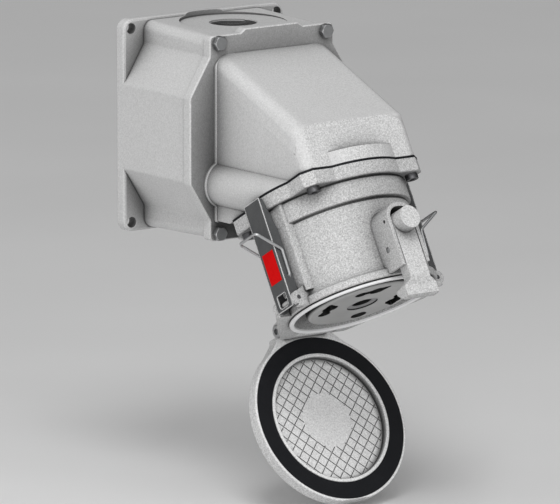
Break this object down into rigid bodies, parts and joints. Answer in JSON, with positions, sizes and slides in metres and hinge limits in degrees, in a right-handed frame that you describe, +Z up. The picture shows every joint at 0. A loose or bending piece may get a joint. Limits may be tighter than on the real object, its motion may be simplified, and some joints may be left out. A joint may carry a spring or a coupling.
{
  "type": "industrial wall socket",
  "caption": "Angled wall socket: cast back box with top cable entry, tilted round socket barrel with sprung latch, side closing levers with wire bails, and a hinged sealed lid.",
  "frame": {"origin": "centre of the wall face", "axes": "+Z up, +Y into the wall, +X to the right when facing the socket"},
  "size_m": [0.2284, 0.3719, 0.4652],
  "materials": {
    "casting": "speckled light grey epoxy coat on cast aluminium",
    "steel": "plain steel",
    "dark_sheet": "dark grey folded sheet",
    "black_rubber": "matt black seal",
    "moulding": "grey moulding",
    "black_moulding": "black insulating moulding",
    "brass": "turned brass",
    "red_film": "plain red film"
  },
  "bodies": {
    "housing": {"wall_box": "casting", "angle_cover": "casting", "socket_shell": "casting", "cover_bolts": "steel", "flange_screws": "steel", "block_screws": "steel", "terminal_screws": "steel", "disc_spring": "steel", "pawl_pin": "steel", "pawl_spring": "steel", "lever_pins": "steel", "hinge_bolt": "steel", "hinge_nut": "steel", "box_gasket": "black_rubber", "flange_gasket": "black_rubber", "disc_retainer": "moulding", "contact_block": "black_moulding", "block_ring": "black_moulding", "main_contacts": "brass", "earth_contact": "brass", "earth_stud": "brass"},
    "lid": {"lid": "casting", "lid_gasket": "black_rubber"},
    "pawl": {"pawl": "casting"},
    "lever_left": {"lever_left": "dark_sheet", "label_left": "red_film"},
    "lever_right": {"lever_right": "dark_sheet", "label_right": "red_film"},
    "bail_left": {"bail_left": "steel"},
    "bail_right": {"bail_right": "steel"},
    "safety_disc": {"safety_disc": "moulding"}
  },
  "joints": [
    {"name": "lid_hinge", "type": "hinge", "parent": "housing", "child": "lid", "pos_m": [0, -0.18785, -0.18898], "axis": [1, 0, 0], "range_deg": [-90, 0]},
    {"name": "pawl_hinge", "type": "hinge", "parent": "housing", "child": "pawl", "pos_m": [0, -0.33634, -0.08737], "axis": [-1, 0, 0], "range_deg": [0, 12], "stiffness_Nm_per_rad": 1, "springref_deg": -5.73, "deforming": ["pawl_spring"]},
    {"name": "lever_left_hinge", "type": "hinge", "parent": "housing", "child": "lever_left", "pos_m": [-0.0865, -0.268, -0.143], "axis": [0, -0.866, 0.5], "range_deg": [0, 95]},
    {"name": "lever_right_hinge", "type": "hinge", "parent": "housing", "child": "lever_right", "pos_m": [0.0865, -0.268, -0.143], "axis": [0, 0.866, -0.5], "range_deg": [0, 95]},
    {"name": "bail_left_hinge", "type": "hinge", "parent": "lever_left", "child": "bail_left", "pos_m": [-0.086, -0.2557, -0.12169], "axis": [0, -0.866, 0.5], "range_deg": [-15, 60]},
    {"name": "bail_right_hinge", "type": "hinge", "parent": "lever_right", "child": "bail_right", "pos_m": [0.086, -0.2557, -0.12169], "axis": [0, 0.866, -0.5], "range_deg": [-20, 55]},
    {"name": "disc_turn", "type": "hinge", "parent": "housing", "child": "safety_disc", "pos_m": [0, -0.272, -0.14992], "axis": [0, 0.5, 0.866], "range_deg": [0, 30], "stiffness_Nm_per_rad": 0.05, "springref_deg": -5.73}
  ]
}
